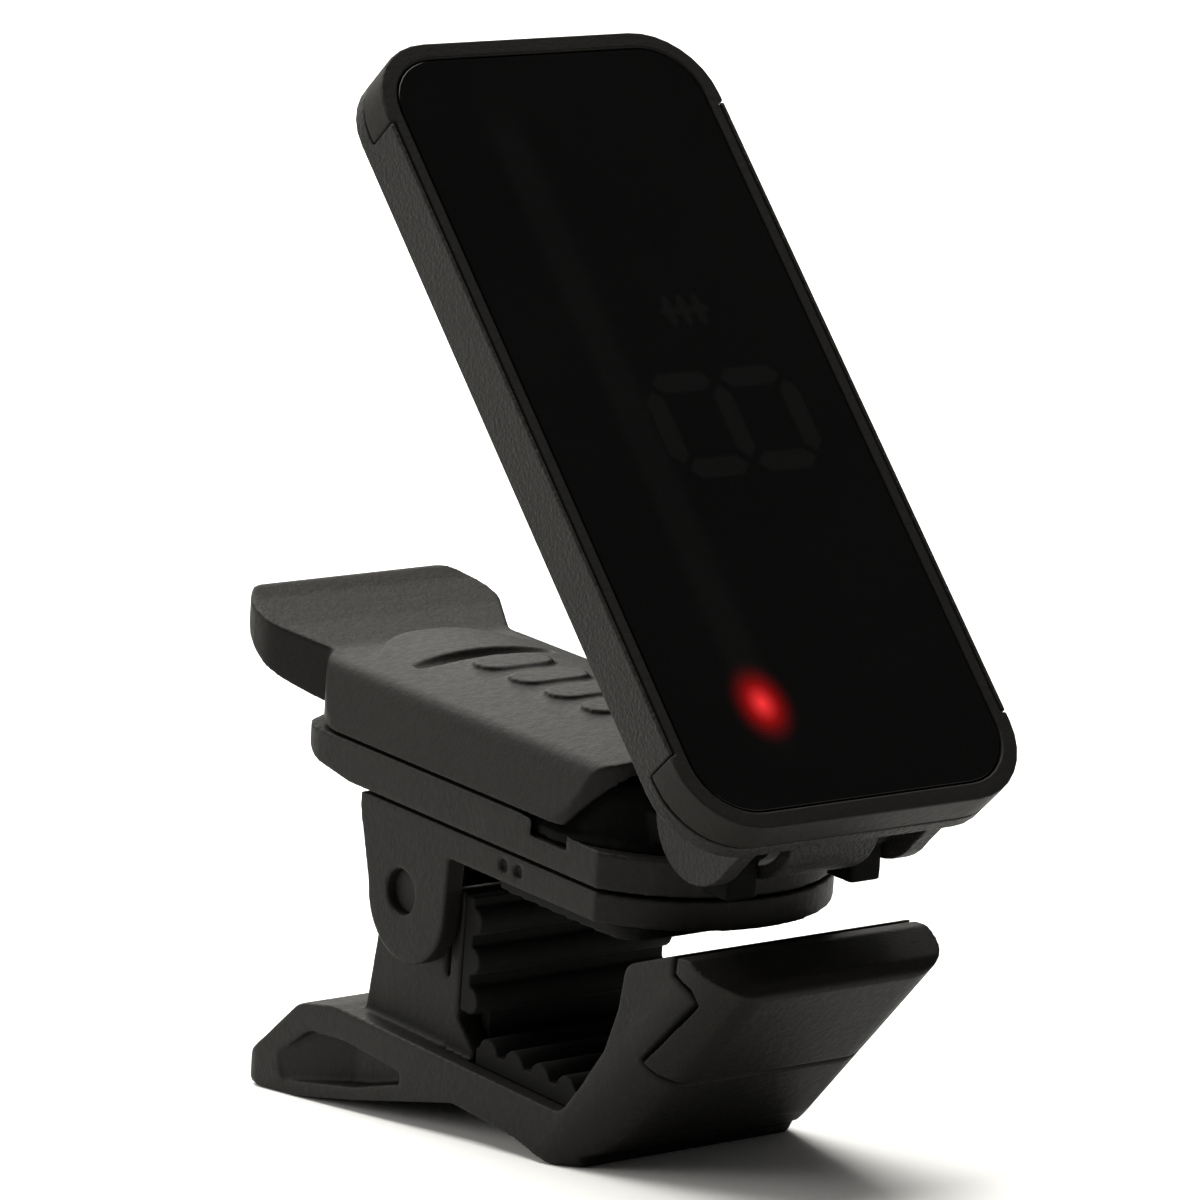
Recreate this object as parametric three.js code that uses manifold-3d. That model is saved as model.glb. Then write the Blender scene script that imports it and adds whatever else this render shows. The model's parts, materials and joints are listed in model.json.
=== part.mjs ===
// Clip-on tuner: a sprung clamp that carries a small swivelling, tilting display.
//
// Clip parts are drawn in the clip's own frame: x across the jaws, y from the mouth (negative) back to
// the levers (positive), z up, with the jaw hinge pin on the x axis. Display parts are drawn in the
// display's own frame: x across, y from the glass (0) to the back, z up from the bottom edge.
// All lengths are millimetres.

import * as THREE from 'three';
import { mergeVertices } from 'three/addons/utils/BufferGeometryUtils.js';
import Module from 'manifold-3d';

const wasm = await Module();
wasm.setup();

// ---------------------------------------------------------------- driving dimensions

const STANDING_TILT = 7.5; // degrees the clip leans nose down when its foot and lever stand on a table
const DISPLAY_LEAN = 44.5; // degrees the display leans back from the clip's z axis
const STANDING_Y = 9.134; // moves the middle of the whole object's depth to y = 0
const STANDING_Z = 15.788; // lifts the foot onto z = 0

const HALF_WIDTH = 9.65; // of both jaws
const LIP_SLOPE = 48.6; // degrees the lip's outer wall leans
const PIN_RADIUS = 1.5;
const RUNNING_GAP = 0.05; // radial, between a pin and its hole
const SEAM = 0.2; // between shells that meet
const HINGE_PIN_HALF = 9.0;
const CLIP_GROOVE = [5.3, 6.3]; // where the retaining ring sits on the pin
const UPRIGHT_INNER = 6.4;
const UPRIGHT_OUTER = 8.0;
const EAR_INNER = 8.2;

const SWIVEL_Y = -15.6;
const NOSE_RADIUS = 11; // upper jaw's rounded front, about the swivel axis
const BASE_BOTTOM = 3.6;
const BASE_TOP = 5.6;
const FRAME_BOTTOM = 5.8;
const FRAME_TOP = 8.6;
const COVER_BOTTOM = 8.8;
const COVER_EDGE = 13.1; // height of the cover's top edges
const COVER_CROWN = 14.1; // height of the middle of its top
const COVER_FRONT = -20;
const COVER_REAR = 13.5;
const COVER_SCREW_X = 6.6;
const COVER_SCREW_Y = 0;

const TILT_Y = -28.7; // tilt pin, in the clip's frame
const TILT_Z = 12.1;
const TILT_PIN_RADIUS = 1.2;
const ARM_INNER = 3.8; // hub arms, across
const ARM_OUTER = 6.2;
const EAR_FROM = 6.8; // display ears outside the arms
const EAR_TO = 8.2;

const DISPLAY_WIDTH = 27;
const DISPLAY_HEIGHT = 58.8;
const CORNER = 5.2;
const RIM = 1.2; // bezel strip around the glass
const BODY_DEPTH = 3.7;
const BACK_DEPTH = 6.8; // over the battery bulge
const PIVOT_DEPTH = 6.7; // tilt pin, in the display's frame
const PIVOT_HEIGHT = 4.3;
const CAP_HEIGHT = 5.9; // bezel end caps, measured along the display
const BULGE_HALF = 10.95;
const BULGE_LOW = 10.2;
const BULGE_HIGH = 53.2;
const DOOR_DEPTH = 6.0; // inner face of the battery cover
const CELL_HEIGHT = 38.6;
const DOOR_SCREW_HEIGHT = 27.0;
const BUTTON_X = 4.8;
const BUTTON_HEIGHT = 17.6;

const FRONT_LIP = 0.5; // depth of the bezel's visible frame
const WALL_LIP = 0.3; // width of the long walls' front edge, outside the bezel's frame
const CAP_DEPTH = 2.5;
const SCREW_SPOTS = [[-10.1, 3.3], [10.1, 3.3], [-10.1, 55.5], [10.1, 55.5]];

const METER_X = -4.94;
const METER_LOW = 8.6;
const METER_PITCH = 4.1;
const METER_COUNT = 11;
const METER_HIGH = METER_LOW + METER_PITCH * (METER_COUNT - 1);

// ---------------------------------------------------------------- materials

const finish = (color, roughness, metalness = 0) =>
  new THREE.MeshStandardMaterial({ color, roughness, metalness });
const FINISH = {
  shell: () => finish(0x2b2b29, 0.55),
  dark: () => finish(0x1b1b1a, 0.6),
  rubber: () => finish(0x181817, 0.85),
  glass: () => finish(0x050505, 0.12),
  steel: () => finish(0x9a9a98, 0.35, 1),
  spring: () => finish(0x777775, 0.3, 1),
  brass: () => finish(0xb59a56, 0.4, 1),
  board: () => finish(0x1d4a2c, 0.6),
  lens: () => finish(0x8d8d88, 0.4),
  lamp: () => finish(0xd22218, 0.35),
};

// ---------------------------------------------------------------- shape helpers

const AXIS_X = new THREE.Vector3(1, 0, 0);
const AXIS_Y = new THREE.Vector3(0, 1, 0);
const AXIS_Z = new THREE.Vector3(0, 0, 1);
const radians = THREE.MathUtils.degToRad;

/** Closed outline through [a, b] points; a third number rounds that corner to that radius. */
function outline(points) {
  const shape = new THREE.Shape();
  points.forEach(([a, b, radius = 0], i) => {
    const corner = new THREE.Vector2(a, b);
    const [lastA, lastB] = points.at(i - 1);
    const [nextA, nextB] = points[(i + 1) % points.length];
    const back = new THREE.Vector2(lastA, lastB).sub(corner).normalize();
    const ahead = new THREE.Vector2(nextA, nextB).sub(corner).normalize();
    const turn = Math.PI - Math.acos(THREE.MathUtils.clamp(back.dot(ahead), -1, 1));
    const reach = radius * Math.tan(turn / 2);
    const handle = reach - (4 / 3) * Math.tan(turn / 4) * radius;
    const start = corner.clone().addScaledVector(back, reach);
    const end = corner.clone().addScaledVector(ahead, reach);
    if (i === 0) shape.moveTo(start.x, start.y);
    else shape.lineTo(start.x, start.y);
    if (radius > 0) {
      const pullIn = corner.clone().addScaledVector(back, handle);
      const pullOut = corner.clone().addScaledVector(ahead, handle);
      shape.bezierCurveTo(pullIn.x, pullIn.y, pullOut.x, pullOut.y, end.x, end.y);
    }
  });
  return shape;
}

/** Rectangle outline between two corners, with one corner radius. */
const rectangle = (a0, b0, a1, b1, radius = 0) =>
  outline([[a0, b0, radius], [a1, b0, radius], [a1, b1, radius], [a0, b1, radius]]);

function solid(geometry) {
  const bare = geometry.clone();
  bare.deleteAttribute('normal');
  bare.deleteAttribute('uv');
  const merged = mergeVertices(bare, 1e-4);
  return new wasm.Manifold(new wasm.Mesh({
    numProp: 3,
    vertProperties: new Float32Array(merged.attributes.position.array),
    triVerts: new Uint32Array(merged.index.array),
  }));
}

function toGeometry(body) {
  const { vertProperties, triVerts } = body.getMesh();
  const geometry = new THREE.BufferGeometry();
  geometry.setAttribute('position', new THREE.BufferAttribute(new Float32Array(vertProperties), 3));
  geometry.setIndex(new THREE.BufferAttribute(new Uint32Array(triVerts), 1));
  geometry.computeVertexNormals();
  return geometry;
}

/** Extrudes a shape by length along `along`, with the shape's own axes laid on `first` and `second`. */
function extrude(shape, length, first, second, along, curveSegments) {
  const geometry = new THREE.ExtrudeGeometry(shape, { depth: length, bevelEnabled: false, curveSegments });
  geometry.applyMatrix4(new THREE.Matrix4().makeBasis(first, second, along));
  return geometry;
}

/** A (y, z) outline between two x values. */
const fromSide = (shape, x0, x1, segments = 6) =>
  solid(extrude(shape, x1 - x0, AXIS_Y, AXIS_Z, AXIS_X, segments).translate(x0, 0, 0));

/** An (x, y) outline between two z values. */
const fromPlan = (shape, z0, z1, segments = 6) =>
  solid(extrude(shape, z1 - z0, AXIS_X, AXIS_Y, AXIS_Z, segments).translate(0, 0, z0));

/** An (x, z) outline between two y values. */
const fromFront = (shape, y0, y1, segments = 6) =>
  solid(extrude(shape, y1 - y0, AXIS_X, AXIS_Z, AXIS_Y.clone().negate(), segments).translate(0, y1, 0));

const box = (x0, x1, y0, y1, z0, z1) => solid(new THREE.BoxGeometry(x1 - x0, y1 - y0, z1 - z0)
  .translate((x0 + x1) / 2, (y0 + y1) / 2, (z0 + z1) / 2));

const rodX = (radius, x0, x1, y, z, sides = 24) => solid(new THREE.CylinderGeometry(
  radius, radius, x1 - x0, sides).rotateZ(Math.PI / 2).translate((x0 + x1) / 2, y, z));

const rodY = (radius, y0, y1, x, z, sides = 24) => solid(new THREE.CylinderGeometry(
  radius, radius, y1 - y0, sides).translate(x, (y0 + y1) / 2, z));

const rodZ = (radius, z0, z1, x, y, sides = 32) => solid(new THREE.CylinderGeometry(
  radius, radius, z1 - z0, sides).rotateX(Math.PI / 2).translate(x, y, (z0 + z1) / 2));

/** Turned solid about the swivel axis from [radius, z] points that start and end on the axis. */
function turned(profile, sides = 44) {
  const points = profile.map(([radius, z]) => new THREE.Vector2(radius, z));
  return solid(new THREE.LatheGeometry(points, sides).rotateX(Math.PI / 2).translate(0, SWIVEL_Y, 0));
}

/** Two bodies in one: what `make` gives for the right side (1) and for the left side (-1). */
function bothSides(make) {
  const right = make(1);
  return right.add(make(-1));
}

const joinAll = (bodies) => bodies.reduce((sum, body) => sum.add(body));

// ---------------------------------------------------------------- lower jaw

/** Rounds the plan corners of the lip, square to its sloping outer wall. */
function lipCorners() {
  const slope = radians(LIP_SLOPE);
  const outward = new THREE.Vector3(0, -Math.sin(slope), -Math.cos(slope));
  const along = new THREE.Vector3().crossVectors(AXIS_X, outward);
  const wall = 24.5; // distance of the outer wall from the hinge pin
  const shape = outline([
    [-HALF_WIDTH, -60], [HALF_WIDTH, -60], [HALF_WIDTH, wall, 3.6], [-HALF_WIDTH, wall, 3.6],
  ]);
  const geometry = extrude(shape, 120, AXIS_X, outward, along, 8);
  return solid(geometry.translate(0, -60 * along.y, -60 * along.z));
}

/** Rounds the free end of the lower lever as seen from above. */
const lowerLeverEnd = () => fromPlan(outline([
  [-HALF_WIDTH, -40], [HALF_WIDTH, -40], [HALF_WIDTH, 17.55, 2.2], [-HALF_WIDTH, 17.55, 2.2],
]), -30, 30, 8);

function uprights(grow = 0) {
  const shape = new THREE.Shape();
  shape.moveTo(5.7 + grow, -10.8);
  shape.lineTo(4.5 + grow, -3.7);
  shape.absarc(0, 0, 3.2 + grow, radians(-20), radians(200), false);
  shape.lineTo(-3.3 - grow, -4.6);
  shape.lineTo(-4.8 - grow, -7.4);
  shape.lineTo(-6.8 - grow, -9.4);
  shape.lineTo(-6.8 - grow, -10.8);
  return bothSides((side) => {
    const edges = [side * (UPRIGHT_INNER - grow), side * (UPRIGHT_OUTER + grow)].sort((a, b) => a - b);
    return fromSide(shape, ...edges, 8);
  });
}

function lowerJaw() {
  const profile = outline([
    [17.5, -16.4, 0.8], [15.0, -14.4, 1.5], [10.9, -10.7, 3], [7.0, -9.8, 3],
    [-18.5, -9.8, 1.5], [-20.5, -7.4], [-22.7, -4.4], [-23.9, -1.3, 3], [-24.4, 1.8, 1.2],
    [-29.2, 3.7], [-29.2, 2.4], [-30.8, 1.7], [-31.0, 1.1], [-26.1, -4.0],
    [-27.45, -5.85], [-22.85, -10.65], [-21.0, -12.1, 1.5], [-19.9, -12.5],
    [-19.9, -13.3], [-17.5, -13.62, 0.5], [-14.0, -12.9, 2], [-6.9, -12.6, 3],
    [4.3, -15.7], [11.0, -17.37], [15.0, -17.88, 0.5], [17.2, -17.7, 0.6],
  ]);
  const hollow = outline([
    [13.6, -19], [14.4, -16.4, 1], [12.0, -13.2, 1], [9.0, -11.8, 1], [0, -11.6], [-4, -12.0, 1], [-3, -19],
  ]);
  const scoop = outline([
    [-3.0, -12.35], [5.2, -11.9, 1.5], [9.5, -12.3, 2], [13.2, -15.0, 1], [12.4, -16.6, 0.6], [4.0, -14.7],
  ]);
  const backWall = outline([[-4.9, -10.8], [-3.7, -10.8], [-3.7, 1.2, 0.4], [-4.9, 1.2, 0.4]]);
  const ramp = (side) => fromPlan(outline([
    [side * 9.7, 13.4], [side * 8.0, 6.0], [side * 8.0, -1], [side * 12, -1], [side * 12, 13.4],
  ]), -25, -5);
  const scoops = bothSides((side) => fromSide(scoop, ...[side * 7.5, side * 12].sort((a, b) => a - b))
    .intersect(ramp(side)));
  return fromSide(profile, -HALF_WIDTH, HALF_WIDTH)
    .intersect(lipCorners())
    .intersect(lowerLeverEnd())
    .subtract(box(-8.3, 8.3, -18.3, -3.8, -10.4, -9))
    .subtract(fromSide(hollow, -7.2, 7.2))
    .subtract(scoops)
    .add(uprights())
    .add(fromSide(backWall, -UPRIGHT_OUTER, UPRIGHT_OUTER))
    .subtract(rodX(PIN_RADIUS + RUNNING_GAP, -10, 10, 0, 0));
}

function lipCap() {
  const profile = outline([
    [-29.6, 3.7], [-30.8, 3.75, 0.6], [-33.4, 2.6, 0.5], [-34.1, 1.9, 0.5], [-33.9, 0.8, 0.4],
    [-27.7, -5.6], [-26.3, -4.2], [-31.3, 0.9], [-31.0, 1.9], [-29.5, 2.6],
  ]);
  return fromSide(profile, -HALF_WIDTH, HALF_WIDTH).intersect(lipCorners());
}

/** Ribbed rubber pad: a floor plate and a back plate, with half-round ribs across both. */
function jawLiner() {
  const half = 8.0;
  const between = UPRIGHT_INNER - SEAM;
  const floor = box(-half, half, -18.0, -7.1, -10.1, -8.9);
  const rearFloor = box(-between, between, -7.2, -5.1, -10.1, -8.9);
  const back = box(-half, half, -6.0, -5.1, -6.9, 1.0);
  const backFoot = box(-between, between, -6.0, -5.1, -9.0, -6.8);
  const floorRibs = [0, 1, 2, 3].map((i) => rodX(1.05, -half, half, -8.4 - i * 2.85, -9.05, 14));
  const backRibs = [0, 1, 2].map((i) => rodX(0.95, -half, half, -6.0, -0.6 - i * 2.7, 14));
  return joinAll([floor, rearFloor, back, backFoot, ...floorRibs, ...backRibs])
    .subtract(box(-9, 9, -30, 5, -12, -10.1))
    .subtract(box(-9, 9, -5.1, 5, -12, 5))
    .subtract(uprights(SEAM));
}

// ---------------------------------------------------------------- hinge

const hingePin = () => rodX(PIN_RADIUS, -HINGE_PIN_HALF, HINGE_PIN_HALF, 0, 0)
  .subtract(rodX(PIN_RADIUS + 1, ...CLIP_GROOVE, 0, 0).subtract(rodX(1.15, ...CLIP_GROOVE, 0, 0)));

const pinRetainer = () => rodX(2.3, CLIP_GROOVE[0] + 0.25, CLIP_GROOVE[1] - 0.25, 0, 0)
  .subtract(rodX(1.2, 0, 10, 0, 0))
  .subtract(box(0, 10, -0.9, 0.9, -4, 0));

/** Torsion spring on the pin: one leg under the upper lever, one on the lower lever. */
function torsionSpring() {
  const coilRadius = 2.35;
  const turns = 4;
  const pitch = 1.0;
  const legAngles = [radians(-52), radians(40)];
  const legReach = 7.0;
  const sweep = turns * 2 * Math.PI + legAngles[1] - legAngles[0] + Math.PI;
  const steps = 56;
  const start = legAngles[0] - Math.PI / 2;
  const points = [];
  const leg = (angle, x) => new THREE.Vector3(x, legReach * Math.cos(angle), legReach * Math.sin(angle));
  points.push(leg(legAngles[0], -turns * pitch / 2));
  for (let i = 0; i <= steps; i += 1) {
    const t = i / steps;
    const angle = start - t * (2 * Math.PI * turns) + t * (legAngles[1] - legAngles[0] - Math.PI);
    points.push(new THREE.Vector3(
      (t - 0.5) * turns * pitch, coilRadius * Math.cos(angle), coilRadius * Math.sin(angle)));
  }
  points.push(leg(legAngles[1], turns * pitch / 2));
  const wire = new THREE.Shape().absarc(0, 0, 0.4, 0, 2 * Math.PI, false);
  const path = new THREE.CatmullRomCurve3(points, false, 'centripetal');
  const count = Math.round(sweep / radians(22)) + 12;
  return solid(new THREE.ExtrudeGeometry(wire, { steps: count, extrudePath: path, curveSegments: 3 }));
}

// ---------------------------------------------------------------- upper jaw

/** Plan outline of the upper jaw, with its round nose and a rear edge at `rear`. */
function upperPlan(rear, rearRadius) {
  const reach = Math.sqrt(NOSE_RADIUS ** 2 - HALF_WIDTH ** 2);
  const angle = Math.atan2(reach, HALF_WIDTH);
  const shape = new THREE.Shape();
  shape.moveTo(HALF_WIDTH, SWIVEL_Y - reach);
  shape.lineTo(HALF_WIDTH, rear - rearRadius);
  shape.quadraticCurveTo(HALF_WIDTH, rear, HALF_WIDTH - rearRadius, rear);
  shape.lineTo(rearRadius - HALF_WIDTH, rear);
  shape.quadraticCurveTo(-HALF_WIDTH, rear, -HALF_WIDTH, rear - rearRadius);
  shape.lineTo(-HALF_WIDTH, SWIVEL_Y - reach);
  shape.absarc(0, SWIVEL_Y, NOSE_RADIUS, Math.PI + angle, 2 * Math.PI - angle, false);
  return shape;
}

const coverScrewHoles = (radius, z0, z1) =>
  bothSides((side) => rodZ(radius, z0, z1, side * COVER_SCREW_X, COVER_SCREW_Y, 16));

function upperBase() {
  const ear = new THREE.Shape();
  ear.moveTo(5.1, BASE_TOP);
  ear.lineTo(-5.1, BASE_TOP);
  ear.lineTo(-5.1, 3.0);
  ear.absarc(-0.6, -0.4, 4.3, Math.PI, 2 * Math.PI, false);
  ear.lineTo(5.1, 4.6);
  const ears = bothSides((side) => fromSide(
    ear, ...[side * EAR_INNER, side * HALF_WIDTH].sort((a, b) => a - b), 12));
  const dimples = [-11.0, -12.6].map((y) => rodX(0.45, -10.5, 10.5, y, 4.7, 12)
    .subtract(rodX(1, 0.4 - HALF_WIDTH, HALF_WIDTH - 0.4, y, 4.7, 12)));
  return fromPlan(upperPlan(5.1, 0.5), BASE_BOTTOM, BASE_TOP, 14)
    .add(ears)
    .subtract(rodX(PIN_RADIUS + RUNNING_GAP, -10, 10, 0, 0))
    .subtract(rodZ(5.5, 4.0, 7, 0, SWIVEL_Y))
    .subtract(box(-3.3, 3.3, -2.6, 7, 3, 7))
    .subtract(coverScrewHoles(1.75, 3, 4.6))
    .subtract(coverScrewHoles(0.95, 4, 7))
    .subtract(joinAll(dimples));
}

function upperFrame() {
  const profile = outline([
    [-27, FRAME_BOTTOM], [6.6, FRAME_BOTTOM, 1], [10.6, 6.4, 3], [13.3, 7.5, 1.2], [13.5, FRAME_TOP],
    [-16.5, FRAME_TOP], [-19, 8.25], [-27, 8.25],
  ]);
  return fromSide(profile, -HALF_WIDTH, HALF_WIDTH)
    .intersect(fromPlan(upperPlan(13.5, 4), 5, 9, 14))
    .subtract(rodZ(9.8, 7.4, 10, 0, SWIVEL_Y, 48))
    .subtract(rodZ(4.1, 5, 10, 0, SWIVEL_Y))
    .subtract(box(-3.3, 3.3, -2.6, 6.3, 5, 7.6))
    .subtract(coverScrewHoles(0.95, 5, 9));
}

/** Top cover with the press paddle; its front is cut away around the swivel hub's dome. */
function upperCover() {
  const shoulder = 8.3; // half width at the top edges
  const section = new THREE.Shape();
  section.moveTo(-HALF_WIDTH, COVER_BOTTOM);
  section.lineTo(HALF_WIDTH, COVER_BOTTOM);
  section.lineTo(shoulder + 0.3, COVER_EDGE - 0.9);
  section.quadraticCurveTo(shoulder, COVER_EDGE, shoulder - 0.9, COVER_EDGE + 0.12);
  section.quadraticCurveTo(0, 2 * COVER_CROWN - COVER_EDGE, 0.9 - shoulder, COVER_EDGE + 0.12);
  section.quadraticCurveTo(-shoulder, COVER_EDGE, -shoulder - 0.3, COVER_EDGE - 0.9);
  const plan = outline([
    [-HALF_WIDTH, COVER_FRONT, 5], [HALF_WIDTH, COVER_FRONT, 5],
    [HALF_WIDTH, COVER_REAR, 5.5], [-HALF_WIDTH, COVER_REAR, 5.5],
  ]);
  const side = outline([
    [-21, COVER_BOTTOM], [COVER_REAR, COVER_BOTTOM, 0.5], [COVER_REAR + 0.4, 9.9],
    [COVER_REAR + 0.4, 13.4, 1], [11.6, 14.2, 4], [8, 14.6], [-21, 14.6],
  ]);
  const paddleSide = outline([
    [6, 9.6], [12.6, 9.5, 3], [15.5, 10.5, 6], [17.4, 11.5, 6], [19.2, 12.6], [21.873, 14.5, 0.6],
    [21.6, 16.0, 0.6], [19.5, 15.2, 6], [16, 14.2, 6], [12.5, 13.4, 6], [8, 13.0], [6, 13.0],
  ]);
  const paddlePlan = outline([
    [-7.3, 5], [7.3, 5], [7.3, 12.3, 2], [HALF_WIDTH, 16.8, 2.5], [HALF_WIDTH, 22.1, 4.5],
    [-HALF_WIDTH, 22.1, 4.5], [-HALF_WIDTH, 16.8, 2.5], [-7.3, 12.3, 2],
  ]);
  const crown = outline([
    [-11, 6.0], [-6.2, 9.1, 6], [-3.7, 11.3, 6], [0, 12.7, 8], [3.7, 11.3, 6], [6.2, 9.1, 6], [11, 6.0],
    [11, 15], [-11, 15],
  ]);
  const shoe = fromFront(section, -21, 15, 10)
    .intersect(fromPlan(plan, 8, 15, 8))
    .intersect(fromSide(side, -10, 10, 5))
    .subtract(fromPlan(crown, 13.35, 16, 3));
  const paddle = fromSide(paddleSide, -12, 12, 4).intersect(fromPlan(paddlePlan, 8, 17, 8));
  const domePocket = turned([
    [0, 7], [9.0, 7], [9.0, 8.9], [8.7, 10.1], [8.4, 11.1], [8.0, 12.0], [7.5, 12.5], [0, 12.5],
  ]);
  const cheekCut = fromSide(outline([
    [-30, 8], [-16.4, 8], [-16.6, 8.8], [-19.0, 11.6], [-20.2, 12.5], [-30, 12.5],
  ]), -12, 12);
  const thumbGroove = rodX(0.95, -5.6, 5.6, 5.2, 14.4, 24);
  const marks = [0, 1, 2, 3].map((i) =>
    fromPlan(rectangle(-3.0, 0.6 - 4.0 * i, 3.0, 3.4 - 4.0 * i, 1.39), 13.2, COVER_CROWN + 0.25, 4));
  return shoe.add(paddle)
    .subtract(domePocket)
    .subtract(cheekCut)
    .subtract(thumbGroove)
    .subtract(box(-4.6, 4.6, -4.4, 8, 8, 11.4))
    .subtract(coverScrewHoles(0.95, 8, 11.4))
    .add(joinAll(marks));
}

const upperPad = () => fromPlan(rectangle(-8, -22.4, 8, -7.3, 2), 2.3, 3.4);

const coverScrew = (side) => rodZ(0.8, 4.3, 11.0, side * COVER_SCREW_X, COVER_SCREW_Y, 12)
  .add(rodZ(1.55, 3.8, 4.4, side * COVER_SCREW_X, COVER_SCREW_Y, 16))
  .subtract(box(side * COVER_SCREW_X - 1, side * COVER_SCREW_X + 1, -0.2, 0.2, 3, 4.05));

// ---------------------------------------------------------------- swivel hub and tilt hinge

/** Domed turntable with a spigot below and two arms that hold the tilt pin. */
function swivelHub() {
  const dome = turned([
    [0, 5.7], [4.0, 5.7], [4.0, 7.6], [9.4, 7.6], [9.4, 8.2], [8.8, 8.7],
    [8.45, 10.0], [8.15, 11.1], [7.7, 11.8], [7.1, 12.2], [0, 12.2],
  ]);
  const arm = new THREE.Shape();
  arm.moveTo(-20, 8.7);
  arm.lineTo(-20, 10.6);
  arm.lineTo(-25.0, 10.8);
  arm.lineTo(-25.9, 13.1);
  arm.absarc(TILT_Y, TILT_Z, 3.0, radians(20), radians(246), false);
  arm.lineTo(-29.9, 6.9);
  arm.lineTo(-27.3, 6.9);
  arm.lineTo(-27.2, 8.7);
  const arms = bothSides((side) => fromSide(
    arm, ...[side * ARM_INNER, side * ARM_OUTER].sort((a, b) => a - b), 8));
  return dome.add(arms)
    .subtract(rodX(TILT_PIN_RADIUS + RUNNING_GAP, -10, 10, TILT_Y, TILT_Z))
    .subtract(rodZ(1.1, 5, 10, 0, SWIVEL_Y, 16));
}

const hubWasher = () => rodZ(5.2, 5.0, 5.45, 0, SWIVEL_Y).subtract(rodZ(1.3, 4, 6, 0, SWIVEL_Y, 16));

const hubScrew = () => rodZ(1.0, 4.8, 9.6, 0, SWIVEL_Y, 16)
  .add(rodZ(2.4, 4.2, 4.85, 0, SWIVEL_Y, 20))
  .subtract(box(-1.6, 1.6, SWIVEL_Y - 0.25, SWIVEL_Y + 0.25, 4, 4.5));

const tiltPin = () => rodX(TILT_PIN_RADIUS, -8.0, 8.0, TILT_Y, TILT_Z);

const tiltWasher = (side) => rodX(2.4, ...[side * (ARM_OUTER + 0.1), side * (EAR_FROM - 0.1)]
  .sort((a, b) => a - b), TILT_Y, TILT_Z).subtract(rodX(TILT_PIN_RADIUS + 0.1, -10, 10, TILT_Y, TILT_Z));

// ---------------------------------------------------------------- display

/** Front outline of the display body, inset by `inset` on every side. */
const bodyOutline = (inset) => rectangle(
  inset - DISPLAY_WIDTH / 2, inset, DISPLAY_WIDTH / 2 - inset, DISPLAY_HEIGHT - inset,
  Math.max(CORNER - inset, 1));

const endZones = (inset) => box(-20, 20, -1, 9, -1, CAP_HEIGHT - inset)
  .add(box(-20, 20, -1, 9, DISPLAY_HEIGHT - CAP_HEIGHT + inset, DISPLAY_HEIGHT + 1));

/** Front frame with an end cap at the top and the bottom, and a ledge behind the glass. */
function frontBezel() {
  const lip = fromFront(bodyOutline(0), 0, FRONT_LIP, 8).intersect(endZones(SEAM / 3))
    .add(fromFront(bodyOutline(WALL_LIP + 0.12), 0, FRONT_LIP, 8));
  const caps = fromFront(bodyOutline(0), 0.2, CAP_DEPTH, 8).intersect(endZones(SEAM / 3));
  const liner = fromFront(bodyOutline(0.95), 0.2, 2.0, 6);
  const throat = fromFront(bodyOutline(RIM), -1, 1.1, 8);
  const inside = fromFront(bodyOutline(1.9), -1, 3, 6);
  const blocks = SCREW_SPOTS.map(([x, z]) => box(
    Math.sign(x) > 0 ? 8.8 : -11.9, Math.sign(x) > 0 ? 11.9 : -8.8, 1.15, CAP_DEPTH, z - 1.4, z + 1.4));
  const holes = SCREW_SPOTS.map(([x, z]) => rodY(0.65, 1.5, 3, x, z, 12));
  return lip.add(caps).add(liner)
    .subtract(throat)
    .subtract(inside)
    .add(joinAll(blocks))
    .subtract(joinAll(holes));
}

const displayWindow = () => fromFront(bodyOutline(RIM + 0.12), 0.06, 1.0, 8);

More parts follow.
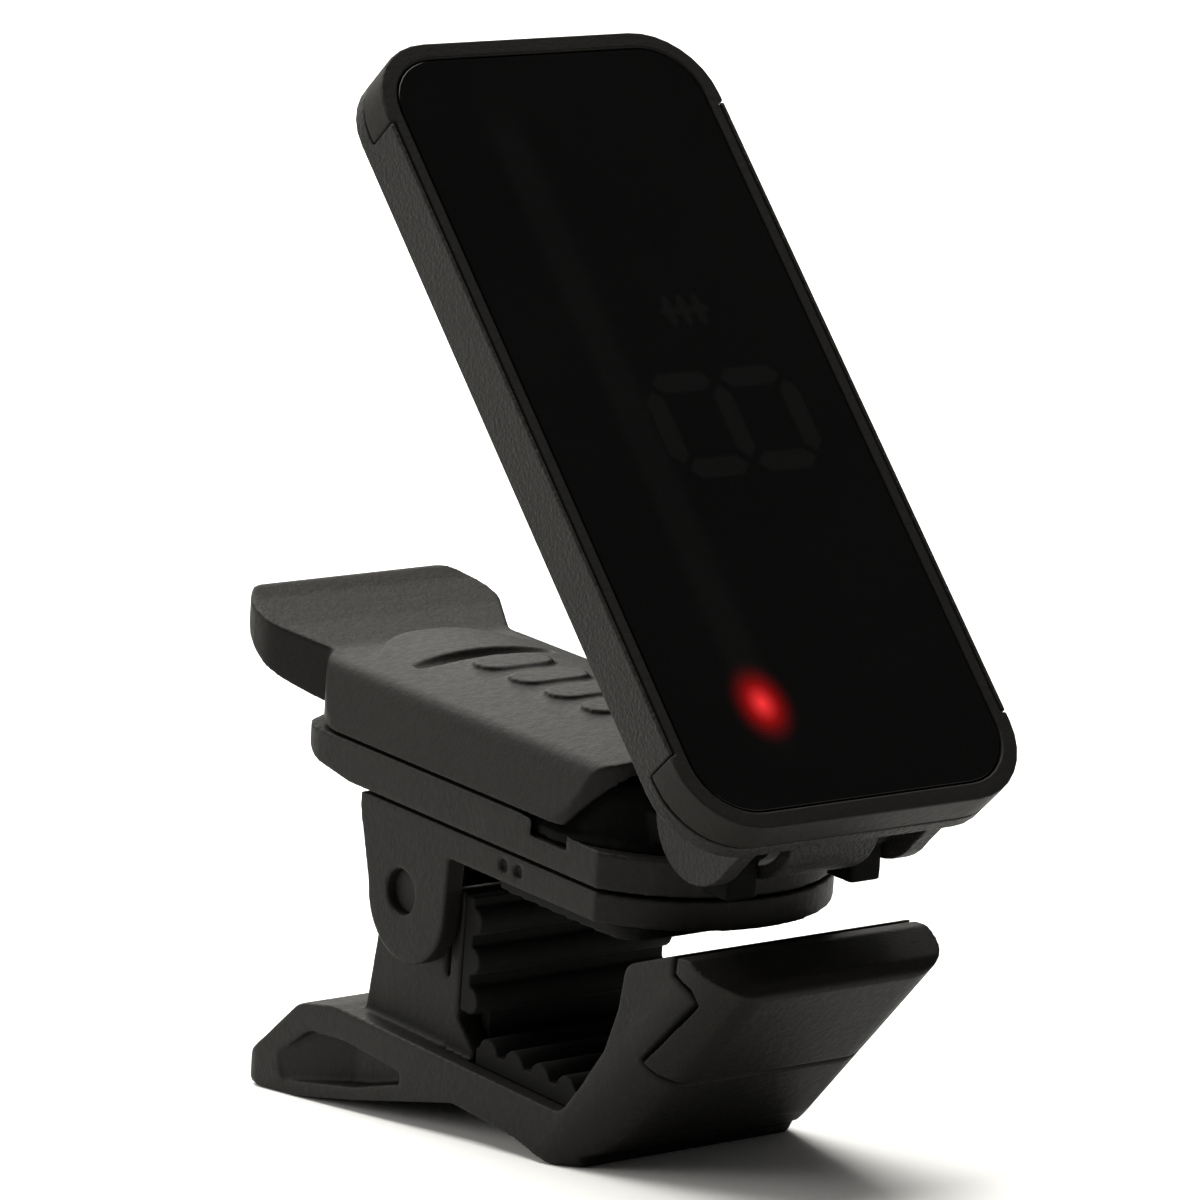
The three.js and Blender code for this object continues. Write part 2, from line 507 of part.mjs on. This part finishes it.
/** Side walls, back and battery bulge in one, with two ears and a curved shroud at the tilt pin. */
function rearShell() {
  const walls = fromFront(bodyOutline(0), 0, BODY_DEPTH, 8)
    .subtract(fromFront(bodyOutline(WALL_LIP), -1, FRONT_LIP + 0.1, 8))
    .subtract(fromFront(bodyOutline(0), -1, CAP_DEPTH + 0.1, 8).intersect(endZones(0)))
    .subtract(fromFront(bodyOutline(0.8), -1, 2.7, 6));
  const bulgeSection = outline([
    [-BULGE_HALF, 0], [BULGE_HALF, 0], [BULGE_HALF, BACK_DEPTH - 0.7], [BULGE_HALF - 0.45, BACK_DEPTH],
    [0.45 - BULGE_HALF, BACK_DEPTH], [-BULGE_HALF, BACK_DEPTH - 0.7],
  ]);
  const bulge = fromFront(
    rectangle(-BULGE_HALF, BULGE_LOW, BULGE_HALF, BULGE_HIGH, 4), BODY_DEPTH - 0.4, BACK_DEPTH, 6)
    .intersect(fromPlan(bulgeSection, 0, DISPLAY_HEIGHT));
  const bay = fromFront(rectangle(-10.25, 11.2, 10.25, 52.2, 3), BODY_DEPTH, BACK_DEPTH - 1.0, 6);
  const cellHole = rodY(10.2, 2, 4, 0, CELL_HEIGHT, 40);
  const chipHole = box(-8.5, 8.5, 2, 4, 12.2, 23.6);
  const doorHole = fromFront(rectangle(-10.2, 25.2, 10.2, 50.6, 2.2), 5.3, 9, 6);
  const boss = rodY(1.5, BODY_DEPTH - 0.1, DOOR_DEPTH - 0.2, 0, DOOR_SCREW_HEIGHT, 20);
  const ear = new THREE.Shape();
  ear.moveTo(3.0, 8.4);
  ear.lineTo(3.0, 0.3);
  ear.absarc(PIVOT_DEPTH, PIVOT_HEIGHT, 4.1, radians(-100), radians(85), false);
  const shroud = new THREE.Shape();
  shroud.absarc(PIVOT_DEPTH, PIVOT_HEIGHT, 4.2, radians(-150), radians(14), false);
  shroud.absarc(PIVOT_DEPTH, PIVOT_HEIGHT, 3.25, radians(14), radians(-150), true);
  const ears = bothSides((side) => fromSide(
    ear, ...[side * EAR_FROM, side * EAR_TO].sort((a, b) => a - b), 8));
  return walls.add(bulge).subtract(bay)
    .subtract(cellHole).subtract(chipHole).subtract(doorHole)
    .add(boss)
    .add(ears)
    .add(fromSide(shroud, -3.5, 3.5, 10))
    .subtract(rodX(TILT_PIN_RADIUS + RUNNING_GAP, -10, 10, PIVOT_DEPTH, PIVOT_HEIGHT))
    .subtract(rodY(0.75, 3.4, 7, 0, DOOR_SCREW_HEIGHT, 12))
    .subtract(rodY(2.75, 5, 9, BUTTON_X, BUTTON_HEIGHT, 24))
    .subtract(joinAll(SCREW_SPOTS.map(([x, z]) => rodY(0.65, 2, 4, x, z, 12))))
    .subtract(joinAll(SCREW_SPOTS.map(([x, z]) => rodY(1.25, 3.0, 4, x, z, 16))));
}

function batteryCover() {
  const plate = fromFront(rectangle(-10.05, 25.4, 10.05, 50.4, 2), DOOR_DEPTH, BACK_DEPTH, 6);
  const ribs = [0, 1, 2, 3, 4].map((i) => box(-4, 4, BACK_DEPTH - 0.3, 9, 44.6 + i * 0.9, 45.0 + i * 0.9));
  return plate
    .subtract(joinAll(ribs))
    .subtract(rodY(0.85, 6, 9, 0, DOOR_SCREW_HEIGHT, 12))
    .subtract(rodY(1.5, BACK_DEPTH - 0.5, 9, 0, DOOR_SCREW_HEIGHT, 16));
}

const batteryCoverScrew = () => rodY(0.65, 3.7, BACK_DEPTH - 0.4, 0, DOOR_SCREW_HEIGHT, 12)
  .add(rodY(1.3, BACK_DEPTH - 0.45, BACK_DEPTH - 0.1, 0, DOOR_SCREW_HEIGHT, 16))
  .subtract(box(-0.9, 0.9, BACK_DEPTH - 0.3, 8, DOOR_SCREW_HEIGHT - 0.15, DOOR_SCREW_HEIGHT + 0.15));

const coinCell = () => rodY(10, 3.0, 5.1, 0, CELL_HEIGHT, 40)
  .add(rodY(8.9, 5.0, 5.5, 0, CELL_HEIGHT, 40));

const contactUnderCell = () => box(-2.5, 2.5, 2.55, 2.75, CELL_HEIGHT - 6, CELL_HEIGHT + 6)
  .add(box(-1, 1, 2.55, 2.95, CELL_HEIGHT - 3, CELL_HEIGHT + 3));

const contactBesideCell = () => box(-2.2, 2.2, BODY_DEPTH + 0.05, 5.1, 49.2, 49.5)
  .add(box(-2.2, 2.2, 4.8, 5.1, 49.2, 51.6));

const circuitBoard = () => fromFront(rectangle(-11.4, 5.2, 11.4, 53.8, 1), 1.72, 2.42, 3);

const controllerChip = () => box(-7.4, -1.4, 2.48, 3.4, 16.4, 22.4)
  .subtract(rodY(0.35, 3.3, 4, -6.7, 21.7, 12));

const noteDisplay = () => fromFront(rectangle(-3.4, 22.6, 9.0, 38.8, 0.6), 1.15, 1.62, 3);

const meterLightGuide = () => fromFront(
  rectangle(METER_X - 1.4, METER_LOW - 2.2, METER_X + 1.4, METER_HIGH + 2.2, 1.2), 1.12, 1.3, 4);

function meterLamp(index) {
  const z = METER_LOW + METER_PITCH * index;
  return box(METER_X - 0.5, METER_X + 0.5, 1.36, 1.68, z - 0.9, z + 0.9);
}

const piezoPickup = () => rodY(4.0, 5.2, 5.5, -4.6, 17.0, 28).add(rodY(2.8, 4.95, 5.25, -4.6, 17.0, 24));

const powerSwitch = () => box(
  BUTTON_X - 2.1, BUTTON_X + 2.1, 2.48, 3.6, BUTTON_HEIGHT - 2.1, BUTTON_HEIGHT + 2.1)
  .add(rodY(1.1, 3.5, 4.1, BUTTON_X, BUTTON_HEIGHT, 20));

/** Push cap with an inner flange that keeps it in the shell. */
const powerButton = () => rodY(2.6, 5.2, 7.4, BUTTON_X, BUTTON_HEIGHT, 28)
  .add(rodY(3.2, 4.75, 5.25, BUTTON_X, BUTTON_HEIGHT, 28));

const caseScrew = ([x, z]) => rodY(0.55, 1.8, 3.2, x, z, 12)
  .add(rodY(1.1, 3.1, 3.45, x, z, 16))
  .subtract(box(x - 0.75, x + 0.75, 3.3, 4, z - 0.12, z + 0.12));

// ---------------------------------------------------------------- assembly

const tuner = new THREE.Group();
const clip = new THREE.Group();
const display = new THREE.Group();
const displayBody = new THREE.Group();

function place(parent, name, body, material) {
  const mesh = new THREE.Mesh(toGeometry(body), material);
  mesh.name = name;
  parent.add(mesh);
}

place(clip, 'lower_jaw', lowerJaw(), FINISH.shell());
place(clip, 'lip_cap', lipCap(), FINISH.shell());
place(clip, 'jaw_liner', jawLiner(), FINISH.rubber());
place(clip, 'hinge_pin', hingePin(), FINISH.shell());
place(clip, 'pin_retainer', pinRetainer(), FINISH.steel());
place(clip, 'torsion_spring', torsionSpring(), FINISH.spring());

place(clip, 'upper_base', upperBase(), FINISH.shell());
place(clip, 'upper_frame', upperFrame(), FINISH.shell());
place(clip, 'upper_cover', upperCover(), FINISH.shell());
place(clip, 'upper_pad', upperPad(), FINISH.rubber());
place(clip, 'cover_screw_left', coverScrew(-1), FINISH.steel());
place(clip, 'cover_screw_right', coverScrew(1), FINISH.steel());

place(clip, 'swivel_hub', swivelHub(), FINISH.dark());
place(clip, 'hub_washer', hubWasher(), FINISH.steel());
place(clip, 'hub_screw', hubScrew(), FINISH.steel());
place(clip, 'tilt_pin', tiltPin(), FINISH.steel());
place(clip, 'tilt_washer_left', tiltWasher(-1), FINISH.steel());
place(clip, 'tilt_washer_right', tiltWasher(1), FINISH.steel());

place(displayBody, 'front_bezel', frontBezel(), FINISH.shell());
place(displayBody, 'display_window', displayWindow(), FINISH.glass());
place(displayBody, 'rear_shell', rearShell(), FINISH.shell());
place(displayBody, 'battery_cover', batteryCover(), FINISH.shell());
place(displayBody, 'battery_cover_screw', batteryCoverScrew(), FINISH.steel());
place(displayBody, 'coin_cell', coinCell(), FINISH.steel());
place(displayBody, 'battery_contact_negative', contactUnderCell(), FINISH.brass());
place(displayBody, 'battery_contact_positive', contactBesideCell(), FINISH.brass());
place(displayBody, 'circuit_board', circuitBoard(), FINISH.board());
place(displayBody, 'controller_chip', controllerChip(), FINISH.dark());
place(displayBody, 'note_display', noteDisplay(), FINISH.lens());
place(displayBody, 'meter_light_guide', meterLightGuide(), FINISH.lens());
place(displayBody, 'piezo_pickup', piezoPickup(), FINISH.brass());
place(displayBody, 'power_switch', powerSwitch(), FINISH.steel());
place(displayBody, 'power_button', powerButton(), FINISH.dark());
for (let i = 0; i < METER_COUNT; i += 1) {
  place(displayBody, `meter_led_${String(i + 1).padStart(2, '0')}`, meterLamp(i), FINISH.lamp());
}
SCREW_SPOTS.forEach((spot, i) => place(displayBody, `case_screw_${i + 1}`, caseScrew(spot), FINISH.steel()));

displayBody.position.set(0, -PIVOT_DEPTH, -PIVOT_HEIGHT);
display.position.set(0, TILT_Y, TILT_Z);
display.rotation.x = radians(-DISPLAY_LEAN);
display.add(displayBody);
clip.add(display);
clip.rotation.x = radians(STANDING_TILT);
clip.position.set(0, STANDING_Y, STANDING_Z);
tuner.add(clip);

export default tuner;
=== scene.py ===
import json
import math

import bmesh
import bpy
from mathutils import Matrix, Vector

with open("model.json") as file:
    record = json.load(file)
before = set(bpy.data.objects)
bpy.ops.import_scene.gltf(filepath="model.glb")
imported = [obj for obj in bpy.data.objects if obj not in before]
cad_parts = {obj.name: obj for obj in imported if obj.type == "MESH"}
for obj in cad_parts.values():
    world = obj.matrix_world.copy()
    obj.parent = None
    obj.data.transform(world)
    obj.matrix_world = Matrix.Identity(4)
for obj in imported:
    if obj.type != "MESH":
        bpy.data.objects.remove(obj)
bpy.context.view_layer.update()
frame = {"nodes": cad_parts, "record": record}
NODES = frame["nodes"]

# ------------------------------------------------------------------ frames, in metres

MM = 0.001
STANDING_TILT = math.radians(7.5)
DISPLAY_LEAN = math.radians(-44.5)
CLIP = (Matrix.Translation((0, 9.134 * MM, 15.788 * MM))
        @ Matrix.Rotation(STANDING_TILT, 4, "X"))
DISPLAY = (CLIP @ Matrix.Translation((0, -28.7 * MM, 12.1 * MM))
           @ Matrix.Rotation(DISPLAY_LEAN, 4, "X")
           @ Matrix.Translation((0, -6.7 * MM, -4.3 * MM)))

# places behind the display's window, in mm across (x) and along (h) the display's own frame
DISPLAY_HEIGHT = 58.8
METER_X = -4.94
METER_HALF_WIDTH, METER_HALF_LENGTH = 1.3, 23.5
GLOW_HEIGHT = 8.6                # of the one lit lamp, on the meter's line
GLOW_STRETCH = 1.2               # the glow is longer along the display than across it
GLOW_HALO, GLOW_CORE = 2.7, 1.25  # radii
SCREEN_DOTS = 17.0               # radians per mm of the printed screen's dots
DIGIT_X, DIGIT_H = 2.7, 28.8     # middle of the unlit digit, which reads along x
DIGIT_COLUMN, DIGIT_ROW = 2.75, 3.2
SIGN_H = 37.3                    # of the small generic sign beside the digit
SIGN_HALF_WIDTH = 0.3

# each stroke: centre x, centre h, half length, whether it runs along x, and its half width if not the digit's
STROKES = [
    *[(DIGIT_X + side * DIGIT_COLUMN, DIGIT_H + row * DIGIT_ROW, 2.35, True)
      for side in (-1, 1) for row in (-1, 1)],
    *[(DIGIT_X + column * 5.4, DIGIT_H, DIGIT_COLUMN, False) for column in (-1, 0, 1)],
    *[(DIGIT_X + bar, SIGN_H, 1.2, False, SIGN_HALF_WIDTH) for bar in (-1.2, 0.0, 1.2)],
    (DIGIT_X, SIGN_H, 2.0, True, SIGN_HALF_WIDTH),
]

# sockets of a colour mix node
MIX_A, MIX_B, MIX_RESULT = 6, 7, 2


# ------------------------------------------------------------------ node helpers

class Graph:
    """A material's node tree with short ways to add nodes and maths."""

    def __init__(self, name):
        self.material = bpy.data.materials.new(name)
        self.material.use_nodes = True
        self.tree = self.material.node_tree
        self.shader = self.tree.nodes["Principled BSDF"]

    def link(self, out, into):
        self.tree.links.new(out, into)

    def node(self, kind, **inputs):
        made = self.tree.nodes.new(kind)
        for key, value in inputs.items():
            self.feed(made.inputs[key.replace("_", " ")], value)
        return made

    def feed(self, socket, value):
        if isinstance(value, bpy.types.NodeSocket):
            self.link(value, socket)
        else:
            socket.default_value = value

    def math(self, operation, a, b=0.0):
        made = self.tree.nodes.new("ShaderNodeMath")
        made.operation = operation
        for socket, value in zip(made.inputs, (a, b)):
            self.feed(socket, value)
        return made.outputs[0]

    def distance(self, value, centre):
        return self.math("ABSOLUTE", self.math("SUBTRACT", value, centre))

    def coords(self):
        return self.tree.nodes.new("ShaderNodeTexCoord").outputs["Object"]

    def noise(self, vector, scale, detail=2.0, roughness=0.5):
        return self.node("ShaderNodeTexNoise", Vector=vector, Scale=scale, Detail=detail,
                         Roughness=roughness).outputs["Fac"]

    def ramp(self, factor, *stops):
        made = self.node("ShaderNodeValToRGB", Fac=factor)
        elements = made.color_ramp.elements
        while len(elements) < len(stops):
            elements.new(0.5)
        for element, (position, colour) in zip(elements, stops):
            element.position = position
            element.color = (*colour, 1.0)
        return made.outputs["Color"]

    def remap(self, value, low, high, to_low, to_high):
        return self.node("ShaderNodeMapRange", Value=value, From_Min=low, From_Max=high,
                         To_Min=to_low, To_Max=to_high).outputs["Result"]

    def blend(self, first, second, factor=1.0, mode="MIX"):
        made = self.tree.nodes.new("ShaderNodeMix")
        made.data_type = "RGBA"
        made.blend_type = mode
        self.feed(made.inputs["Factor"], factor)
        self.link(first, made.inputs[MIX_A])
        self.link(second, made.inputs[MIX_B])
        return made.outputs[MIX_RESULT]

    def base(self, colour):
        self.link(colour, self.shader.inputs["Base Color"])

    def roughness(self, pattern, low, high):
        """Roughness between low and high, following a noise pattern."""
        self.link(self.remap(pattern, 0.3, 0.7, low, high), self.shader.inputs["Roughness"])

    def bump(self, height, distance):
        made = self.node("ShaderNodeBump", Height=height, Distance=distance, Strength=1.0)
        self.link(made.outputs["Normal"], self.shader.inputs["Normal"])

    def specular(self, level):
        self.shader.inputs["Specular IOR Level"].default_value = level


def shade(colour, factor):
    return tuple(channel * factor for channel in colour)


def moulded_plastic(name, colour, roughness, bump, specular):
    """Moulded plastic: slow tone drift, a fine grain as bump, and a painted highlight that makes convex edges
    a little lighter.
    """
    g = Graph(name)
    place = g.coords()
    drift = g.noise(place, 90.0, 3.0)
    fine = g.noise(place, 4200.0, 2.0, 0.6)
    specks = g.noise(place, 1890.0, 1.0)
    tone = g.ramp(drift, (0.3, shade(colour, 0.93)), (0.7, shade(colour, 1.07)))
    pointiness = g.tree.nodes.new("ShaderNodeNewGeometry").outputs["Pointiness"]
    # painted highlight: convex edges, found by pointiness, are painted lighter as if they caught the light
    painted_edge_highlight = g.ramp(pointiness, (0.52, (0, 0, 0)), (0.62, (1, 1, 1)))
    lighter = g.ramp(specks, (0.3, shade(colour, 1.215)), (0.7, shade(colour, 1.485)))
    g.base(g.blend(tone, lighter, painted_edge_highlight))
    g.roughness(specks, roughness - 0.03, roughness + 0.03)
    g.bump(g.math("ADD", fine, g.math("MULTIPLY", specks, 0.8)), bump)
    g.specular(specular)
    return g.material


def eroded_plastic(name, colour, roughness, bump, specular):
    """Spark-eroded mould texture: irregular pits and bumps about a third of a millimetre apart, with painted
    shade in the pits and painted glints on the peaks.
    """
    g = Graph(name)
    place = g.coords()
    cells = g.node("ShaderNodeTexVoronoi", Vector=place, Scale=3600.0, Randomness=1.0)
    lumps = g.noise(place, 2600.0, 3.0, 0.65)
    drift = g.noise(place, 120.0, 3.0)
    relief = g.math("ADD", g.math("MULTIPLY", cells.outputs["Distance"], 0.45), lumps)
    tone = g.ramp(drift, (0.3, shade(colour, 0.85)), (0.7, shade(colour, 1.15)))
    # painted shade and painted glints: the colour follows the relief, darker in the pits and lighter on the
    # peaks
    painted_pit_shade_and_glint = g.ramp(relief, (0.45, (0.55, 0.55, 0.55)), (0.95, (1.5, 1.5, 1.5)))
    g.base(g.blend(tone, painted_pit_shade_and_glint, mode="MULTIPLY"))
    g.roughness(lumps, roughness - 0.1, roughness + 0.08)
    g.bump(relief, bump)
    g.specular(specular)
    return g.material


def metal(name, colour, roughness, stretch):
    """Bare metal with fine drawn lines along one direction and a slow tarnish."""
    g = Graph(name)
    place = g.coords()
    scaled = g.node("ShaderNodeMapping", Vector=place, Scale=stretch).outputs["Vector"]
    lines = g.noise(scaled, 5200.0, 2.0)
    tarnish = g.noise(place, 400.0, 4.0)
    g.base(g.ramp(tarnish, (0.25, shade(colour, 0.72)), (0.75, colour)))
    g.roughness(lines, roughness - 0.08, roughness + 0.1)
    g.bump(lines, 0.000006)
    g.shader.inputs["Metallic"].default_value = 1.0
    return g.material


def rubber(name, colour):
    """Soft moulded rubber with a dusty tone and a faint fine grain."""
    g = Graph(name)
    place = g.coords()
    dust = g.noise(place, 700.0, 5.0, 0.65)
    g.base(g.ramp(dust, (0.3, shade(colour, 0.8)), (0.75, shade(colour, 1.5))))
    g.roughness(dust, 0.78, 0.94)
    g.bump(g.noise(place, 5200.0, 2.0), 0.00003)
    g.specular(0.1)
    return g.material


def circuit_green():
    """Solder mask in two greens over a fine network of tracks."""
    g = Graph("solder_resist")
    place = g.coords()
    cells = g.node("ShaderNodeTexVoronoi", Vector=place, Scale=700.0).outputs["Distance"]
    g.base(g.ramp(cells, (0.1, (0.03, 0.10, 0.04)), (0.5, (0.012, 0.055, 0.022))))
    g.roughness(g.noise(place, 900.0), 0.3, 0.5)
    g.bump(cells, 0.00002)
    return g.material


def clear_plastic(name, dark, light, scale, low, high):
    """Smooth plastic, slightly cloudy between two colours, for the lenses and the lamps."""
    g = Graph(name)
    place = g.coords()
    cloud = g.noise(place, scale, 3.0)
    g.base(g.ramp(cloud, (0.3, dark), (0.7, light)))
    g.roughness(cloud, low, high)
    g.bump(g.noise(place, 4000.0), 0.00001)
    return g.material


def window_glass():
    """Near-black printed glass. Behind it, faintly: the meter strip, an unlit digit, and one lit lamp."""
    g = Graph("window_glass")
    mapping = g.node("ShaderNodeMapping", Vector=g.coords(), Location=DISPLAY.to_translation(),
                     Rotation=DISPLAY.to_euler())
    mapping.vector_type = "TEXTURE"   # takes the object's own coordinates into the display's frame
    place = mapping.outputs["Vector"]
    parts = g.node("ShaderNodeSeparateXYZ", Vector=place)
    x = g.math("MULTIPLY", parts.outputs["X"], 1 / MM)
    h = g.math("MULTIPLY", parts.outputs["Z"], 1 / MM)

    def inside(value, edge, soft):
        return g.remap(value, edge - soft, edge + soft, 1.0, 0.0)

    def stroke(centre_x, centre_h, half_length, along_x, half_width=0.72):
        across, along = (h, x) if along_x else (x, h)
        centre_across, centre_along = (centre_h, centre_x) if along_x else (centre_x, centre_h)
        past = g.math("SUBTRACT", g.distance(along, centre_along), half_length - half_width)
        off = g.math("ADD", g.distance(across, centre_across), g.math("MAXIMUM", past, 0.0))
        return inside(off, half_width, 0.12)

    digit = 0.0
    for spec in STROKES:
        digit = g.math("MAXIMUM", digit, stroke(*spec))
    strip = g.math("MULTIPLY", inside(g.distance(x, METER_X), METER_HALF_WIDTH, 0.5),
                   inside(g.distance(h, DISPLAY_HEIGHT / 2), METER_HALF_LENGTH, 2.0))
    faint = g.math("ADD", g.math("MULTIPLY", digit, 0.0026), g.math("MULTIPLY", strip, 0.0016))
    haze = g.math("MULTIPLY", g.noise(place, 60.0, 2.0), 0.0015)
    level = g.math("ADD", g.math("ADD", faint, haze), 0.0014)
    g.base(g.node("ShaderNodeCombineColor", Red=level, Green=level, Blue=level).outputs["Color"])
    g.roughness(g.noise(place, 240.0, 3.0), 0.06, 0.11)

    across = g.math("POWER", g.distance(x, METER_X), 2.0)
    along = g.math("POWER", g.math("DIVIDE", g.distance(h, GLOW_HEIGHT), GLOW_STRETCH), 2.0)
    reach = g.math("SQRT", g.math("ADD", across, along))
    halo = g.math("POWER", g.remap(reach, 0.0, GLOW_HALO, 1.0, 0.0), 2.2)
    core = g.math("POWER", g.remap(reach, 0.0, GLOW_CORE, 1.0, 0.0), 1.4)
    waves = [g.math("SINE", g.math("MULTIPLY", g.math(way, x, h), SCREEN_DOTS))
             for way in ("ADD", "SUBTRACT")]
    dots = g.math("MULTIPLY", *waves)
    screen = g.remap(g.math("ADD", dots, g.math("MULTIPLY", halo, 3.5)), -0.4, 0.6, 0.35, 1.0)
    bright = g.math("ADD", g.math("MULTIPLY", halo, 0.75), g.math("MULTIPLY", core, 0.25))
    red = g.math("MULTIPLY", bright, screen)
    green = g.math("MULTIPLY", core, 0.035)
    blue = g.math("MULTIPLY", g.math("ADD", g.math("MULTIPLY", halo, 0.008), core), 0.038)
    g.link(g.node("ShaderNodeCombineColor", Red=red, Green=green, Blue=blue).outputs["Color"],
           g.shader.inputs["Emission Color"])
    g.shader.inputs["Emission Strength"].default_value = 1.0
    g.specular(0.14)
    return g.material


SLOTS = {
    "shell_plastic": moulded_plastic("shell_plastic", (0.0072, 0.0069, 0.0060), 0.56, 0.00003, 0.09),
    "textured_plastic": eroded_plastic("textured_plastic", (0.0072, 0.0070, 0.0062), 0.58, 0.00009, 0.14),
    "dark_plastic": moulded_plastic("dark_plastic", (0.0020, 0.0020, 0.0019), 0.55, 0.00002, 0.02),
    "rubber": rubber("rubber", (0.0060, 0.0060, 0.0056)),
    "window": window_glass(),
    "steel": metal("steel", (0.55, 0.55, 0.54), 0.32, (0.15, 1, 1)),
    "spring_steel": metal("spring_steel", (0.42, 0.42, 0.41), 0.3, (1, 0.2, 1)),
    "brass": metal("brass", (0.66, 0.50, 0.24), 0.36, (1, 1, 0.2)),
    "board": circuit_green(),
    "lens": clear_plastic("lens_plastic", (0.34, 0.34, 0.32), (0.46, 0.46, 0.43), 500.0, 0.3, 0.5),
    "lamp": clear_plastic("lamp_plastic", (0.5, 0.02, 0.015), (0.75, 0.04, 0.03), 900.0, 0.25, 0.45),
}

SLOT_OF = {part["node"]: part["material_slot"] for part in frame["record"]["subparts"]}


def dress(piece, slot):
    piece.data.materials.clear()
    piece.data.materials.append(SLOTS[slot])


for name, node in NODES.items():
    dress(node, SLOT_OF[name])

# ------------------------------------------------------------------ moulded edges on the CAD shells

# voxel size in mm, smoothing passes and share of faces kept, for parts with soft moulded edges
SOFT = {
    "lower_jaw": (0.13, 14, 0.2), "lip_cap": (0.1, 10, 0.2), "upper_base": (0.12, 10, 0.2),
    "upper_frame": (0.12, 10, 0.2), "upper_cover": (0.11, 14, 0.2), "swivel_hub": (0.12, 10, 0.2),
    "upper_pad": (0.2, 5, 0.4), "power_button": (0.12, 5, 0.5), "hinge_pin": (0.09, 4, 0.4),
    "tilt_pin": (0.1, 3, 0.4), "pin_retainer": (0.07, 3, 0.5),
    "tilt_washer_left": (0.08, 2, 0.5), "tilt_washer_right": (0.08, 2, 0.5),
    "cover_screw_left": (0.07, 3, 0.4), "cover_screw_right": (0.07, 3, 0.4),
    "battery_cover_screw": (0.06, 3, 0.4),
    **{f"case_screw_{i}": (0.055, 3, 0.4) for i in range(1, 5)},
}
# width in mm of the small fillet on parts with crisp edges
CRISP = {"rear_shell": 0.14, "front_bezel": 0.16, "display_window": 0.1, "battery_cover": 0.15,
         "jaw_liner": 0.15, "coin_cell": 0.15, "controller_chip": 0.06, "power_switch": 0.06,
         "circuit_board": 0.06, "piezo_pickup": 0.06, "note_display": 0.06, "meter_light_guide": 0.05}


def soften(node, voxel, passes, keep):
    """Rounds every edge of a CAD shell a little, by an even mesh that is smoothed and then thinned."""
    remesh = node.modifiers.new("even_mesh", "REMESH")
    remesh.mode = "VOXEL"
    remesh.voxel_size = voxel * MM
    remesh.use_smooth_shade = True
    smooth = node.modifiers.new("soft_edges", "SMOOTH")
    smooth.factor = 0.5
    smooth.iterations = passes
    thin = node.modifiers.new("fewer_faces", "DECIMATE")
    thin.ratio = keep


def fillet(node, width):
    """Small fillets on a CAD shell's edges, with its flat faces joined first so that they stay flat."""
    if "custom_normal" in node.data.attributes:
        node.data.attributes.remove(node.data.attributes["custom_normal"])
    node.data.polygons.foreach_set("use_smooth", [True] * len(node.data.polygons))
    weld = node.modifiers.new("weld", "WELD")
    weld.merge_threshold = 2e-6
    flat = node.modifiers.new("whole_faces", "DECIMATE")
    flat.decimate_type = "DISSOLVE"
    flat.angle_limit = math.radians(0.7)
    bevel = node.modifiers.new("fillet", "BEVEL")
    bevel.width = width * MM
    bevel.segments = 3
    bevel.limit_method = "ANGLE"
    bevel.angle_limit = math.radians(32)
    bevel.use_clamp_overlap = False
    bevel.miter_outer = "MITER_ARC"
    shading = node.modifiers.new("even_shading", "WEIGHTED_NORMAL")
    shading.keep_sharp = False
    shading.weight = 60


for name, settings in SOFT.items():
    soften(NODES[name], *settings)
for name, width in CRISP.items():
    fillet(NODES[name], width)

# ------------------------------------------------------------------ camera

# a long lens, a little above the table and from the left of the display's front
camera_data = bpy.data.cameras.new("camera")
camera_data.lens = 206.42
camera_data.sensor_width = 36.0
camera_data.clip_start = 0.01
camera = bpy.data.objects.new("camera", camera_data)
camera.location = (-0.26694, -0.35591, 0.09526)
camera.rotation_euler = [math.radians(a) for a in (82.3068, 0.8974, -37.0251)]
bpy.context.scene.collection.objects.link(camera)
bpy.context.scene.camera = camera

# ------------------------------------------------------------------ floor and light

floor_mesh = bpy.data.meshes.new("floor")
bm = bmesh.new()
bmesh.ops.create_circle(bm, cap_ends=True, radius=6.0, segments=96)
bm.to_mesh(floor_mesh)
bm.free()
floor = bpy.data.objects.new("floor", floor_mesh)
bpy.context.scene.collection.objects.link(floor)
paper = Graph("paper")
paper.base(paper.ramp(paper.noise(paper.coords(), 3.0), (0.3, (0.90,) * 3), (0.7, (0.92,) * 3)))
paper.shader.inputs["Roughness"].default_value = 0.9
paper.specular(0.1)
floor.data.materials.append(paper.material)


WARM_WHITE = (1.0, 0.98, 0.93)


def softbox(name, location, size, power, target=(0, 0, 0.03)):
    lamp = bpy.data.lights.new(name, "AREA")
    lamp.shape = "RECTANGLE"
    lamp.size, lamp.size_y = size
    lamp.energy = power
    lamp.color = WARM_WHITE
    holder = bpy.data.objects.new(name, lamp)
    holder.location = location
    aim = Vector(target) - Vector(location)
    holder.rotation_euler = aim.to_track_quat("-Z", "Y").to_euler()
    bpy.context.scene.collection.objects.link(holder)


softbox("overhead", (0.1, 0.6, 1.5), (1.6, 1.6), 64.0)
softbox("back_left", (-1.1, 1.0, 0.55), (1.2, 0.8), 11.5)
softbox("far_back", (0.6, 2.2, 1.1), (2.4, 1.2), 34.0, target=(0.4, 1.2, 0.0))

world = bpy.data.worlds.new("studio")
world.use_nodes = True
world.node_tree.nodes["Background"].inputs["Color"].default_value = (1.0, 0.98, 0.95, 1.0)
world.node_tree.nodes["Background"].inputs["Strength"].default_value = 0.1
bpy.context.scene.world = world
bpy.context.scene.view_settings.view_transform = "Standard"
